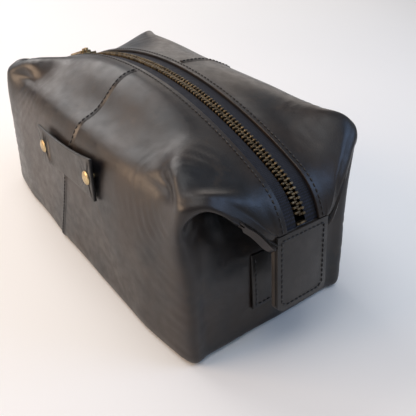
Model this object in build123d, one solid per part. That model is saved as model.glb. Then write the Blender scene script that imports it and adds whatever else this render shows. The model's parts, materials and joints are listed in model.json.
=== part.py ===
from build123d import *
import os
from math import asin, atan2, cos, degrees, radians, sin, sqrt, tan

# A soft leather wash bag with a closed metal zipper along its crown. +X runs along the bag, the labelled
# long wall faces -Y, and the bag stands on z = 0. Lengths are in millimetres, angles in degrees.

# Driving dimensions: the bag
base_length = 258.0
base_width = 128.0
side_bulge = 6.5  # how far each long wall bellies out past its corners
crown_height = 128.0  # mouth edges at mid length
front_shoulder = 104.0  # height of the crease on which the front mouth flap bends
front_drop = 6.0  # height of the sloping shoulder below that crease
front_ear = 101.0  # top corner of the end wall
back_shoulder = 117.0
back_drop = 4.0
back_ear = 114.0
shoulder_inset = 11.5  # crease, in from the corner of the long wall
wall_lean = 11.0  # end wall, in from the vertical
corner_radius = 9.0
base_radius = 6.0
leather = 2.0
lining = 0.8
layer_gap = 0.2
flap_reach = 75.0  # a mouth flap, each way from the middle
flap_gap = 0.4
mouth_gap = 25.0  # between the folded leather edges

# Driving dimensions: the crown line and the noses over the ends
crown_inset = 11.0  # end of the long arc, in from the base's end
crown_sag = 23.76  # fall of the long arc from mid length to its end
nose_radius = 41.0
nose_turn = 68.0  # slope of the crown line where it reaches the end tab
pleat_depth = 41.0  # tip of the folded-in pleat, in from the base's end
pleat_height = 88.0
pleat_foot = 61.0  # lowest point of the pleat's mouth
ear_inset = 14.0  # top corner of the end wall, in from the base's end

# Driving dimensions: leather trim
tab_margin = 7.2  # of an end tab, past each mouth edge
tab_length = 48.5
tab_layer = 2.4
tab_lean = 10.7
tab_gap = 0.8
tab_bevel = 1.6
tab_corner = 5.0
patch_width = 32.0
patch_height = 38.0
patch_foot = 17.0
patch_leather = 1.6
label_length = 80.0
label_height = 28.0
label_waist = 3.0
label_leather = 2.2
label_x = -3.0
label_z = 76.5
label_tilt = 6.0  # its right-hand end, up from level
rivet_span = 66.5
rivet_cap = 9.0
rivet_dome = 1.6
rivet_taper = 30.0
rivet_post = 3.0
rivet_washer = 0.8

# Driving dimensions: the zipper
tape_lap = 6.0  # how far the leather covers the tape
tape = 0.8
tooth_pitch = 2.8
tooth_thickness = 1.2
tooth_reach = 3.7  # from the middle of the chain
tooth_lap = 0.7  # a head, past the middle
tooth_height = 4.0
head_height = 2.8
stop_height = 3.2
slider_length = 16.0
slider_width = 12.6
slider_plate = 1.3
slider_wing = 1.5
slider_inset = 6.0  # centre of the closed slider, in from the end of the long arc
divider_length = 4.0
divider_width = 2.4
chain_clearance = 0.35
bail_span = 8.4
bail_width = 2.4
bail_wire = 1.2
bail_window = 2.7
pull_length = 25.0
pull_width = 9.0
pull_thickness = 1.6
pull_pin = 1.8
pull_eye = 6.4
pull_arm = 1.5
pull_end = 4.1  # radius of the pull's rounded corners
pull_hole = 3.6

# The crown line: one long arc, and a tighter arc at each end that turns down to the tab
half_length = base_length / 2
half_width = base_width / 2
crown_reach = half_length - crown_inset
crown_radius = (crown_reach**2 + crown_sag**2) / (2 * crown_sag)
slider_park = crown_reach - slider_inset
tab_width = mouth_gap + 2 * tab_margin
crown_angle = degrees(asin(crown_reach / crown_radius))
crown_centre = (0.0, crown_height - crown_radius)
nose_offset = crown_radius - nose_radius
nose_centre = (
    nose_offset * sin(radians(crown_angle)),
    crown_centre[1] + nose_offset * cos(radians(crown_angle)),
)
crease_y = half_width - shoulder_inset
mouth_y = mouth_gap / 2
tape_edge = mouth_y + tape_lap
chain_depth = leather + layer_gap + tape / 2
ear_x = half_length - ear_inset
lip_y = half_width - leather  # ends of the lip over the pleat
cheek_steps = 3
nose_steps = 5
tab_fall = layer_gap  # of the crown skin's edge where it enters the tab
outer_space = 4 * base_length
seam_x = flap_reach + flap_gap  # start of the nose's roof
least_fall = 0.3  # a roof is never quite flat
sides = (-1, 1)
shoulder = {-1: front_shoulder, 1: back_shoulder}
drop = {-1: front_drop, 1: back_drop}
ear = {-1: front_ear, 1: back_ear}


def on_crown(angle, depth=0.0):
    """Point (x, z) under the crown line where its slope is angle, negative on the left."""
    size = abs(angle)
    centre, radius = (crown_centre, crown_radius) if size <= crown_angle else (nose_centre, nose_radius)
    x = centre[0] + (radius - depth) * sin(radians(size))
    return (x if angle >= 0 else -x, centre[1] + (radius - depth) * cos(radians(size)))


def crown_slope(x):
    """Slope of the crown line above x, on its long arc."""
    return degrees(asin(x / crown_radius))


def crown_z(x):
    """Height of the crown line above x, on its long arc."""
    return crown_centre[1] + sqrt(crown_radius**2 - x**2)


def polyhedron(*faces):
    """Closed solid with flat faces, each a list of points."""
    flat = [Face(Wire.make_polygon([Vector(*p) for p in face], close=True)) for face in faces]
    return Solid(Shell(flat))


def crown_strip(depth, thickness, y_near, y_far, start, stop):
    """Strip that follows the crown line at a depth below it, from one slope to another."""
    turns = [a for a in (-crown_angle, crown_angle) if start < a < stop]
    stations = [start, *turns, stop]

    def place(angle, level):
        x, z = on_crown(angle, level)
        return (x, y_near, z)

    edges = []
    for level in (depth, depth + thickness):
        for a, b in zip(stations, stations[1:]):
            edges.append(ThreePointArc(*[place(v, level) for v in (a, (a + b) / 2, b)]))
    for end in (start, stop):
        edges.append(Line(place(end, depth), place(end, depth + thickness)))
    return extrude(make_face(edges), amount=y_far - y_near, dir=(0, 1, 0))


# Body leather: one open-topped half of the bag, with its folded-in end


def end_notch(inset):
    """Space outside the pleat: it opens upwards and outwards from the fold line."""
    tip = (half_length - pleat_depth - inset, 0.0)
    foot_x = half_length - pleat_foot * sin(radians(wall_lean)) + inset
    top, far = crown_height, outer_space
    ears = [(ear_x, side * (half_width + inset), ear[side] - inset) for side in sides]
    low = (foot_x, 0.0, pleat_foot - 2 * inset)
    fold = (*tip, pleat_height - inset)
    high = (*tip, top)
    left, right = ears
    left_top, right_top = [(x, y, top) for x, y, z in ears]
    left_far, low_far, right_far = [(far, y, z) for x, y, z in (left, low, right)]
    left_top_far, right_top_far = [(far, y, top) for x, y, z in ears]
    return polyhedron(
        [left, left_top, high, fold],
        [fold, high, right_top, right],
        [left, fold, low],
        [fold, right, low],
        [left, low, low_far, left_far],
        [low, right, right_far, low_far],
        [left_far, low_far, right_far, right_top_far, left_top_far],
        [left_top, left_top_far, right_top_far, right_top, high],
        [left, left_far, left_top_far, left_top],
        [right, right_top, right_top_far, right_far],
    )


def end_lean(inset):
    """Everything beyond the leaning end wall."""
    low_x = half_length - inset
    high_x = low_x - crown_height * sin(radians(wall_lean))
    outline = [(low_x, 0), (outer_space, 0), (outer_space, crown_height), (high_x, crown_height)]
    face = make_face(Polyline(*[(x, -outer_space, z) for x, z in outline], close=True))
    return extrude(face, amount=2 * outer_space, dir=(0, 1, 0))


def shoulder_cut(inset, side):
    """Everything outside the sloping shoulder between the long wall and the crease."""
    run, rise = shoulder_inset + side_bulge, drop[side]
    tilt = atan2(rise, run)
    low_y = crease_y + run - inset * sin(tilt)
    low_z = shoulder[side] - rise - inset * cos(tilt)
    points = [
        (low_y + run, low_z - rise),
        (low_y - 2 * run, low_z + 2 * rise),
        (low_y - 2 * run, outer_space),
        (low_y + run, outer_space),
    ]
    face = make_face(Polyline(*[(-outer_space, side * y, z) for y, z in points], close=True))
    return extrude(face, amount=2 * outer_space, dir=(1, 0, 0))


def tub(inset, top):
    """Half of the bag as a block, inset from the outside all round and cut off at height top."""
    x, y = half_length - inset, half_width - inset
    belly = y + side_bulge
    corners = [(x, -y), (x, y), (-x, y), (-x, -y)]
    outline = [
        Line(corners[0], corners[1]),
        ThreePointArc(corners[1], (0, belly), corners[2]),
        Line(corners[2], corners[3]),
        ThreePointArc(corners[3], (0, -belly), corners[0]),
    ]
    block = extrude(make_face(outline), amount=top - inset)
    block = fillet(block.edges().filter_by(Axis.Z), corner_radius - inset)
    block = fillet(block.faces().sort_by(Axis.Z)[0].edges(), base_radius - inset)
    block = Pos(0, 0, inset) * block
    block -= [shoulder_cut(inset, side) for side in sides]
    block -= [end_lean(inset), end_notch(inset)]
    half = Pos(outer_space / 2, 0, 0) * Box(outer_space, outer_space, outer_space)
    return block & half


def crown_space():
    """Space inside the crease and the lips, which the crown leather covers: its front, then its back."""
    rim = [(0, crease_y), (seam_x, crease_y), (crown_reach, lip_y), (outer_space, lip_y)]
    halves = []
    for side in sides:
        outline = [(0, 0), *[(x, side * y) for x, y in rim], (outer_space, 0)]
        plan = extrude(make_face(Polyline(*outline, close=True)), amount=outer_space, dir=(0, 0, 1))
        brim = ear[side] - 2 * leather
        profile = [(0, pleat_height), (lip_y, brim), (outer_space, brim)]
        profile += [(outer_space, crown_height), (0, crown_height)]
        face = make_face(Polyline(*[(0, side * y, z) for y, z in profile], close=True))
        halves.append(plan & extrude(face, amount=outer_space, dir=(1, 0, 0)))
    return halves


def tub_shell(inset, thickness):
    """Open-topped skin of one half, at an inset from the outside."""
    return tub(inset, max(shoulder.values())) - tub(inset + thickness, crown_height) - crown_space()


def mirrored(shape, side):
    """The shape on the right for side 1, and its mirror image on the left for side -1."""
    return shape if side > 0 else mirror(shape, about=Plane.YZ)


# Crown leather: the mouth flaps in the middle, and the roofs of the two noses


def roof_section(x, z, tilt, y_out, fall, depth, thickness, y_in):
    """Slice of the crown skin: flat over the tape, then curved by fall to its outer edge."""
    up = Vector(sin(radians(tilt)), 0, cos(radians(tilt)))
    top = Vector(x, 0, z)
    run = y_out - tape_edge
    fall = fall if abs(fall) > least_fall else -least_fall
    radius = (run**2 + fall**2) / (2 * fall)
    sweep = atan2(run / radius, 1 - fall / radius)

    def place(angle, level):
        y = tape_edge + (radius - level) * sin(angle)
        down = radius - (radius - level) * cos(angle)
        return top - up * down + Vector(0, y, 0)

    levels = (depth, depth + thickness)
    edges = [ThreePointArc(*[place(a, level) for a in (0, sweep / 2, sweep)]) for level in levels]
    edges.append(Line(place(sweep, levels[0]), place(sweep, levels[1])))
    inner = [place(0, level) for level in levels]
    if y_in < tape_edge:
        lap = Vector(0, tape_edge - y_in, 0)
        edges += [Line(p, p - lap) for p in inner]
        inner = [p - lap for p in inner]
    edges.append(Line(*inner))
    return make_face(edges)


def fronted(shape, side):
    """The shape on the back for side 1, and its mirror image on the front for side -1."""
    return shape if side > 0 else mirror(shape, about=Plane.XZ)


def flap_skin(side, depth, thickness, y_in):
    """Right half of a mouth flap, at a depth below its outside."""
    sections = []
    for x in (0.0, flap_reach / 2, flap_reach):
        z = crown_z(x)
        section = (x, z, 0, crease_y - flap_gap, z - shoulder[side])
        sections.append(roof_section(*section, depth, thickness, y_in))
    return fronted(loft(sections), side)


def nose_stations(side):
    """Slices of the nose's roof: x, z, tilt, y of its lip and its fall there."""
    cheeks = [seam_x + (crown_reach - seam_x) * step / cheek_steps for step in range(cheek_steps)]
    stations = []
    for x in cheeks:
        share = (x - seam_x) / (crown_reach - seam_x)
        y_out = crease_y + (lip_y - crease_y) * share
        edge_z = shoulder[side] + (ear[side] - shoulder[side]) * share
        stations.append((x, crown_z(x), crown_slope(x) * share, y_out, crown_z(x) - edge_z))
    ear_fall = crown_z(crown_reach) - ear[side]
    tab_x = on_crown(nose_turn)[0]
    for step in range(nose_steps + 1):
        slope = crown_angle + (nose_turn - crown_angle) * step / nose_steps
        x, z = on_crown(slope)
        share = (tab_x - x) / (tab_x - crown_reach)
        y_out = tab_width / 2 + (lip_y - tab_width / 2) * share
        stations.append((x, z, slope, y_out, tab_fall + (ear_fall - tab_fall) * share))
    return stations


def nose_roof(side):
    """Strip of leather over the right-hand nose, on one side of the mouth."""
    sections = [roof_section(*station, 0, leather, mouth_y) for station in nose_stations(side)]
    return fronted(loft(sections, ruled=True), side)


def nose_floor():
    """Upper leaf of the folded-in pleat, which closes the nose from below."""
    x, z = on_crown(nose_turn, 2 * leather + tape + 2 * layer_gap)
    fold = (half_length - pleat_depth, 0.0, pleat_height + leather)
    ears = [(ear_x, side * (half_width - 2 * leather), ear[side] - leather) for side in sides]
    tips = [(x, side * (tab_width / 2 - layer_gap), z) for side in sides]

    def lower(p):
        return (p[0], p[1], p[2] - leather)

    rim = [fold, ears[0], tips[0], tips[1], ears[1]]
    leaves = [[fold, ears[0], tips[0]], [fold, tips[0], tips[1]], [fold, tips[1], ears[1]]]
    walls = [[a, b, lower(b), lower(a)] for a, b in zip(rim, rim[1:] + rim[:1])]
    return polyhedron(*leaves, *[[lower(p) for p in leaf] for leaf in leaves], *walls)


# Leather trim


def tab_plate(depth, start):
    """One layer of the right-hand end tab, hanging from the end of the crown line."""
    x, z = on_crown(nose_turn)
    outward = (cos(radians(tab_lean)), 0, sin(radians(tab_lean)))
    hang = Plane(origin=(x, 0, z), x_dir=(0, 1, 0), z_dir=outward)
    height = tab_length - start
    outline = Pos(0, -start - height / 2) * Rectangle(tab_width, height)
    outline = fillet(outline.vertices().group_by(Axis.Y)[0], tab_corner)
    return extrude(hang.offset(-depth - tab_layer) * outline, amount=tab_layer)


def end_patch():
    """Patch sewn over the foot of the right-hand end seam."""
    foot_x = half_length + layer_gap - patch_foot * tan(radians(wall_lean))
    outward = (cos(radians(wall_lean)), 0, sin(radians(wall_lean)))
    wall = Plane(origin=(foot_x, 0, patch_foot), x_dir=(0, 1, 0), z_dir=outward)
    outline = Pos(0, patch_height / 2) * Rectangle(patch_width, patch_height)
    return extrude(wall * outline, amount=patch_leather)


def belly_y(x):
    """Outside of the front wall at x."""
    radius = (half_length**2 + side_bulge**2) / (2 * side_bulge)
    return -(half_width + side_bulge - radius + sqrt(radius**2 - x**2))


label_back = belly_y(0) - layer_gap
label_face = label_back - label_leather
rivet_run = rivet_span / 2 * cos(radians(label_tilt))
rivet_rise = rivet_span / 2 * sin(radians(label_tilt))
rivet_places = [(label_x + end * rivet_run, label_z + end * rivet_rise) for end in sides]
wall_inside = leather + layer_gap + lining
hole_radius = rivet_post / 2 + layer_gap / 2
on_top = (Align.CENTER, Align.CENTER, Align.MIN)  # a shape that stands on its place


def rivet_bars(radius, y_near, y_far):
    """The same round bar at each rivet, from one y to another."""
    bar = Cylinder(radius, y_far - y_near, align=on_top)
    return [Pos(x, y_far, z) * Rot(90, 0, 0) * bar for x, z in rivet_places]


def label_plate():
    """Label with a waist in its two long edges and a hole at each rivet."""
    x, z = label_length / 2, label_height / 2
    low, high = label_z - z, label_z + z
    left, right = label_x - x, label_x + x
    corners = [(left, low), (right, low), (right, high), (left, high)]
    waist = [(label_x, low + label_waist), (label_x, high - label_waist)]
    points = [[(px, label_back, pz) for px, pz in row] for row in (corners, waist)]
    (a, b, c, d), (under, over) = points
    outline = [ThreePointArc(a, under, b), Line(b, c), ThreePointArc(c, over, d), Line(d, a)]
    plate = extrude(make_face(outline), amount=label_leather, dir=(0, -1, 0))
    plate = plate.rotate(Axis((label_x, 0, label_z), (0, -1, 0)), label_tilt)
    return plate - rivet_bars(hole_radius, label_face - leather, label_back + leather)


# Zipper


def at_chain(slope, depth=chain_depth):
    """Place on the chain, with its own z square to the tape and x along it."""
    x, z = on_crown(slope, depth)
    return Pos(x, 0, z) * Rot(0, slope, 0)


def chain_slopes(offset):
    """Slope of the crown at each tooth of one side, from the parked slider to the right-hand tab."""
    slopes = []
    crown_chain = crown_radius - chain_depth
    nose_chain = nose_radius - chain_depth
    crown_run = radians(crown_angle) * crown_chain
    start = -radians(slider_slope) * crown_chain - slider_length / 2 + divider_length + tooth_pitch / 2
    stop = crown_run + radians(nose_turn - crown_angle) * nose_chain - 2 * tooth_pitch
    run = start + offset
    while run < stop:
        if run <= crown_run:
            slopes.append(degrees(run / crown_chain))
        else:
            slopes.append(crown_angle + degrees((run - crown_run) / nose_chain))
        run += tooth_pitch
    return slopes


def tooth(side):
    """One tooth with a narrower head that crosses the middle of the chain."""
    root = (tooth_reach - tooth_lap) / 2
    clamp = Box(tooth_thickness, tooth_reach - root, tooth_height)
    clamp = Pos(0, side * (tooth_reach + root) / 2, 0) * clamp
    head = Pos(0, side * (root - tooth_lap) / 2, 0) * Box(tooth_thickness, root + tooth_lap, head_height)
    return clamp + head


def slider_body():
    """Two plates joined by the divider, with wings that hold the chain and leave a slot for each tape."""
    space = tooth_height / 2 + chain_clearance
    wing_height = space - tape / 2 - chain_clearance
    wing_y = slider_width / 2 - slider_wing / 2
    shape = Pos(-(slider_length - divider_length) / 2, 0, 0) * Box(divider_length, divider_width, 2 * space)
    for up in sides:
        plate = Pos(0, 0, up * (space + slider_plate / 2)) * Box(slider_length, slider_width, slider_plate)
        shape += fillet(plate.edges().filter_by(Axis.Z), slider_wing)
        for side in sides:
            wing = Box(slider_length - 4 * slider_wing, slider_wing, wing_height)
            shape += Pos(slider_wing, side * wing_y, up * (space - wing_height / 2)) * wing
    return shape


def bail():
    """Arch on the slider's top plate that holds the pull."""
    foot = tooth_height / 2 + chain_clearance + slider_plate
    arch = Box(bail_span, bail_width, bail_window + bail_wire, align=on_top)
    arch = fillet(arch.edges().filter_by(Axis.Y).group_by(Axis.Z)[-1], bail_wire)
    window = Box(bail_span - 2 * bail_wire, bail_width, bail_window, align=on_top)
    return Pos(0, 0, foot) * (arch - window)


pivot_rise = tooth_height / 2 + chain_clearance + slider_plate + bail_window / 2


def pull_tab():
    """Pull with an eye round the bail, lying towards the left with its pin on the pivot."""
    plate = Pos(-pull_length / 2, 0, 0) * Box(pull_length, pull_width, pull_thickness)
    plate = fillet(plate.edges().filter_by(Axis.Z).group_by(Axis.X)[0], pull_end)
    eye = Pos(-pull_eye / 2, 0, 0) * Box(pull_eye, pull_width - 2 * pull_arm, pull_thickness)
    finger_hole = Pos(-pull_length + pull_width / 2, 0, 0) * Cylinder(pull_hole / 2, pull_thickness)
    pin = Rot(90, 0, 0) * Cylinder(pull_pin / 2, pull_width)
    return Pos(0, 0, pivot_rise) * (plate - eye - finger_hole + pin)


slider_slope = degrees(asin(slider_park / (crown_radius - chain_depth)))


def crown_stop(slope, along, y_near, y_far):
    """Small block clamped across the tape beside the chain."""
    block = Box(along, y_far - y_near, stop_height)
    return at_chain(slope) * (Pos(0, (y_near + y_far) / 2, 0) * block)


parts = {}
wall_holes = rivet_bars(hole_radius, label_face, belly_y(0) + 4 * wall_inside)
for side, name in zip(sides, ("left", "right")):
    roof = [nose_roof(edge) for edge in sides]
    floor = nose_floor()
    skin = tub_shell(0, leather) - roof - floor
    inner = tub_shell(leather + layer_gap, lining) - roof - floor
    parts[f"body_leather_{name}"] = mirrored(skin, side) - wall_holes
    parts[f"body_lining_{name}"] = mirrored(inner, side) - wall_holes
    parts[f"nose_roof_{name}"] = [mirrored(strip, side) for strip in roof]
    parts[f"pleat_leaf_{name}"] = mirrored(floor, side)
    for edge, edge_name in zip(sides, ("front", "back")):
        flap = flap_skin(edge, 0, leather, mouth_y)
        flap_lining = flap_skin(edge, leather + layer_gap, lining, tape_edge + layer_gap)
        parts[f"{edge_name}_flap_{name}"] = mirrored(flap, side)
        parts[f"{edge_name}_flap_lining_{name}"] = mirrored(flap_lining, side)
    parts[f"end_tab_outer_{name}"] = mirrored(tab_plate(0, tab_gap), side)
    parts[f"end_tab_inner_{name}"] = mirrored(tab_plate(tab_layer, tab_gap + tab_bevel), side)
    parts[f"end_patch_{name}"] = mirrored(end_patch(), side)

tape_top = chain_depth - tape / 2
for side, name in zip(sides, ("front", "back")):
    near, far = sorted((side * tooth_reach, side * tape_edge))
    parts[f"zipper_tape_{name}"] = crown_strip(tape_top, tape, near, far, -nose_turn, nose_turn)
    shift = 0 if side < 0 else tooth_pitch / 2
    parts[f"zipper_teeth_{name}"] = [at_chain(slope) * tooth(side) for slope in chain_slopes(shift)]

stop_y = (divider_width / 2 + layer_gap, tooth_reach - layer_gap)
stop_slope = -slider_slope - degrees((slider_length - divider_length) / 2 / (crown_radius - chain_depth))
parts["zipper_top_stops"] = [
    crown_stop(stop_slope, tooth_thickness, *sorted(side * y for y in stop_y)) for side in sides
]
end_slope = nose_turn - degrees(tooth_pitch / 2 / (nose_radius - chain_depth))
parts["zipper_bottom_stop"] = crown_stop(end_slope, tooth_thickness, -stop_y[1], stop_y[1])
parked = at_chain(-slider_slope)
parts["slider_body"] = parked * slider_body()
parts["slider_bail"] = parked * bail()
parts["slider_pull"] = parked * pull_tab()

parts["label"] = label_plate()
washer_face = max(belly_y(x) for x, z in rivet_places) + wall_inside + 2 * layer_gap
dome = extrude(Circle(rivet_cap / 2), amount=rivet_dome, taper=rivet_taper)
parts["label_rivet_posts"] = rivet_bars(rivet_post / 2, label_face, washer_face)
parts["label_rivet_caps"] = [Pos(x, label_face, z) * Rot(90, 0, 0) * dome for x, z in rivet_places]
parts["label_rivet_washers"] = rivet_bars(rivet_cap / 2, washer_face, washer_face + rivet_washer)

os.makedirs("parts", exist_ok=True)
for node, shape in parts.items():
    solids = shape if isinstance(shape, list) else [shape]
    whole = Compound(children=[s for piece in solids for s in piece.solids()])
    export_step(whole, f"parts/{node}.step")

print(len(parts), "nodes", "slider slope", round(slider_slope, 3), "pivot rise", pivot_rise)
print("crown centre", crown_centre, "nose centre", nose_centre, "tab hinge", on_crown(nose_turn))
print("crease y", crease_y, "label face", label_face, "chain depth", chain_depth)
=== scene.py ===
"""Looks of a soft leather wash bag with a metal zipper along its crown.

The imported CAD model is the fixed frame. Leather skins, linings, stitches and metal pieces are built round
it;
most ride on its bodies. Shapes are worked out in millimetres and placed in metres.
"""

import json
import logging
import math
from collections.abc import Callable, Sequence
from dataclasses import dataclass, field
from enum import Enum

import bpy
import numpy as np
from mathutils import Matrix, Vector, noise


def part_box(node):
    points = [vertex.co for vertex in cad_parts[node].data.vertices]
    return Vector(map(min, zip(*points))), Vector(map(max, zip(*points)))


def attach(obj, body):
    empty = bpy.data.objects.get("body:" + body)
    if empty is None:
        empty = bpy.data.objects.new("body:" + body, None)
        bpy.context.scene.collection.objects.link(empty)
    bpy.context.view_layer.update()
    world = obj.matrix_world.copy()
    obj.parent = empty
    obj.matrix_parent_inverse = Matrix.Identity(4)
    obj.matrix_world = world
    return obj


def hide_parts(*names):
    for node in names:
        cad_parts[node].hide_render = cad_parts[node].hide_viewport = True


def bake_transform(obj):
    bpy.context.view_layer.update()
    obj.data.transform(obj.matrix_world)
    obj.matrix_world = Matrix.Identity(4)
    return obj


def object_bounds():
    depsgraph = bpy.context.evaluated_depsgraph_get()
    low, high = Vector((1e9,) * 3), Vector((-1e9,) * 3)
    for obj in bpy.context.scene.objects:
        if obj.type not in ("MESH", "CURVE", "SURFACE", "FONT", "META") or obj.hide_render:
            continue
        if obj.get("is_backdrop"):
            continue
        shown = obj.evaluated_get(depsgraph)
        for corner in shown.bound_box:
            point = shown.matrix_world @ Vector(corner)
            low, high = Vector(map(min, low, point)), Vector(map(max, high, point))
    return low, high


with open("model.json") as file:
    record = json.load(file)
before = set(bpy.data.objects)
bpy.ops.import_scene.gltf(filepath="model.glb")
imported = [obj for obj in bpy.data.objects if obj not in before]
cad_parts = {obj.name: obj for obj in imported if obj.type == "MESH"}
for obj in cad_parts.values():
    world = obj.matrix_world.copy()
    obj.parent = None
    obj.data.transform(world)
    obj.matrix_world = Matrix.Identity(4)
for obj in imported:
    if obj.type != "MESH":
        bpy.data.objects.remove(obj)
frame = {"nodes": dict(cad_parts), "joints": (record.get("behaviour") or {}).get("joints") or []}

LOG = logging.getLogger("wash_bag")
MM = 0.001
Array = np.ndarray


class Half(Enum):
    """Half of the bag along its length."""

    LEFT = -1
    RIGHT = 1

    @property
    def label(self) -> str:
        """Name used in piece and node names."""
        return self.name.lower()


class Edge(Enum):
    """Side of the mouth."""

    FRONT = -1
    BACK = 1

    @property
    def label(self) -> str:
        """Name used in piece and node names."""
        return self.name.lower()


# ---------------------------------------------------------------- finishes


class Bench:
    """A material's nodes, laid out from its Principled shader."""

    def __init__(self, name: str) -> None:
        """Start a material with only its output and shader.

        Args:
            name: Name of the material.
        """
        self.material = bpy.data.materials.new(name)
        self.material.use_nodes = True
        self.nodes = self.material.node_tree.nodes
        self.links = self.material.node_tree.links
        self.shader = next(n for n in self.nodes if n.type == "BSDF_PRINCIPLED")
        self.place = self.add("ShaderNodeTexCoord").outputs["Object"]

    def add(self, kind: str, **settings: object) -> bpy.types.Node:
        """Add a node and set its properties.

        Args:
            kind: Blender's name of the node type.
            settings: Properties of the node by name.

        Returns:
            The new node.
        """
        node = self.nodes.new(kind)
        for key, value in settings.items():
            setattr(node, key, value)
        return node

    def set(self, **values: object) -> None:
        """Set sockets of the shader; an underscore in a name stands for a space."""
        for key, value in values.items():
            self.shader.inputs[key.replace("_", " ")].default_value = value

    def stretched(self, scale: tuple[float, float, float], turn: float = 0.0) -> bpy.types.NodeSocket:
        """Object coordinates scaled on each axis and turned about the upright.

        Args:
            scale: Scale on x, y and z.
            turn: Turn in degrees.

        Returns:
            The mapped coordinates.
        """
        mapping = self.add("ShaderNodeMapping")
        mapping.inputs["Scale"].default_value = scale
        mapping.inputs["Rotation"].default_value = (0, 0, math.radians(turn))
        self.links.new(self.place, mapping.inputs["Vector"])
        return mapping.outputs["Vector"]

    def noise(
        self,
        scale: float,
        detail: float = 4.0,
        rough: float = 0.5,
        kind: str = "FBM",
        warp: float = 0.0,
        at: bpy.types.NodeSocket | None = None,
    ) -> bpy.types.NodeSocket:
        """Noise pattern on the surface.

        Args:
            scale: Repeats per metre.
            detail: Number of finer layers.
            rough: Strength of the finer layers.
            kind: Noise type.
            warp: Distortion.
            at: Coordinates, or the object's own.

        Returns:
            The pattern's factor.
        """
        node = self.add("ShaderNodeTexNoise", noise_type=kind)
        node.inputs["Scale"].default_value = scale
        node.inputs["Detail"].default_value = detail
        node.inputs["Roughness"].default_value = rough
        node.inputs["Distortion"].default_value = warp
        self.links.new(at or self.place, node.inputs["Vector"])
        return node.outputs["Fac"]

    def cells(self, scale: float, feature: str = "F1") -> bpy.types.NodeSocket:
        """Cell pattern on the surface.

        Args:
            scale: Cells per metre.
            feature: Voronoi feature.

        Returns:
            The distance pattern.
        """
        node = self.add("ShaderNodeTexVoronoi", feature=feature)
        node.inputs["Scale"].default_value = scale
        self.links.new(self.place, node.inputs["Vector"])
        return node.outputs["Distance"]

    def ramp(
        self, factor: bpy.types.NodeSocket, stops: Sequence[tuple[float, tuple[float, float, float]]]
    ) -> bpy.types.NodeSocket:
        """Colours along a factor.

        Args:
            factor: The pattern.
            stops: Position and colour of each stop.

        Returns:
            The colour.
        """
        node = self.add("ShaderNodeValToRGB")
        elements = node.color_ramp.elements
        while len(elements) < len(stops):
            elements.new(0.5)
        for element, (position, colour) in zip(elements, stops):
            element.position = position
            element.color = (*colour, 1.0)
        self.links.new(factor, node.inputs["Fac"])
        return node.outputs["Color"]

    def span(
        self, factor: bpy.types.NodeSocket, low: tuple[float, float], high: tuple[float, float]
    ) -> bpy.types.NodeSocket:
        """Map a factor from one range to another.

        Args:
            factor: The pattern.
            low: Its range.
            high: The new range.

        Returns:
            The mapped value.
        """
        node = self.add("ShaderNodeMapRange")
        for key, value in zip(("From Min", "From Max", "To Min", "To Max"), (*low, *high)):
            node.inputs[key].default_value = value
        self.links.new(factor, node.inputs["Value"])
        return node.outputs["Result"]

    def bump(self, layers: Sequence[tuple[bpy.types.NodeSocket, float, float]]) -> None:
        """Raise the surface by several patterns.

        Args:
            layers: Pattern, height in metres and strength of each layer.
        """
        normal = None
        for height, distance, strength in layers:
            node = self.add("ShaderNodeBump")
            node.inputs["Distance"].default_value = distance
            node.inputs["Strength"].default_value = strength
            self.links.new(height, node.inputs["Height"])
            if normal:
                self.links.new(normal, node.inputs["Normal"])
            normal = node.outputs["Normal"]
        self.links.new(normal, self.shader.inputs["Normal"])

    def paint(self, socket: str, value: bpy.types.NodeSocket) -> None:
        """Feed one of the shader's sockets."""
        self.links.new(value, self.shader.inputs[socket])


Colour = tuple[float, float, float]


@dataclass(frozen=True)
class Leather:
    """Semi-gloss creased leather."""

    name: str
    dark: Colour
    warm: Colour
    worn: Colour
    gloss: float = 0.4
    crease: float = 1.0

    def make(self) -> bpy.types.Material:
        """Return the leather's material."""
        bench = Bench(self.name)
        cloud = bench.noise(24, 3, 0.55)
        base = bench.ramp(cloud, [(0.36, self.dark), (0.62, self.warm)])
        folds = bench.noise(34, 5, 0.62, "RIDGED_MULTIFRACTAL", 0.5, bench.stretched((1.0, 1.0, 1.9), 20))
        lines = bench.noise(95, 4, 0.6, "RIDGED_MULTIFRACTAL", 0.3)
        rub = bench.span(bench.noise(60, 6, 0.7), (0.56, 0.74), (0.0, 1.0))
        mix = bench.add("ShaderNodeMix", data_type="RGBA")
        bench.links.new(rub, mix.inputs["Factor"])
        bench.links.new(base, mix.inputs["A"])
        mix.inputs["B"].default_value = (*self.worn, 1.0)
        bench.paint("Base Color", mix.outputs["Result"])
        shine = (self.gloss - 0.07, self.gloss + 0.1)
        bench.paint("Roughness", bench.span(bench.noise(130, 4, 0.6), (0.3, 0.7), shine))
        grain = bench.cells(1300)
        bench.bump(
            [
                (folds, 0.0009 * self.crease, 0.55),
                (lines, 0.00035 * self.crease, 0.5),
                (grain, 0.00012, 0.35),
            ]
        )
        bench.set(Coat_Weight=0.1, Coat_Roughness=0.3, IOR=1.46)
        return bench.material


@dataclass(frozen=True)
class Metal:
    """Cast or stamped metal with a worn surface."""

    name: str
    bright: Colour
    dull: Colour
    rough: float = 0.34
    wear: float = 260.0

    def make(self) -> bpy.types.Material:
        """Return the metal's material."""
        bench = Bench(self.name)
        patch = bench.noise(self.wear, 5, 0.65)
        bench.paint("Base Color", bench.ramp(patch, [(0.38, self.dull), (0.6, self.bright)]))
        bench.paint("Roughness", bench.span(patch, (0.35, 0.65), (self.rough + 0.14, self.rough)))
        bench.bump([(bench.noise(900, 3, 0.5), 0.0001, 0.25)])
        bench.set(Metallic=1.0)
        return bench.material


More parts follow.
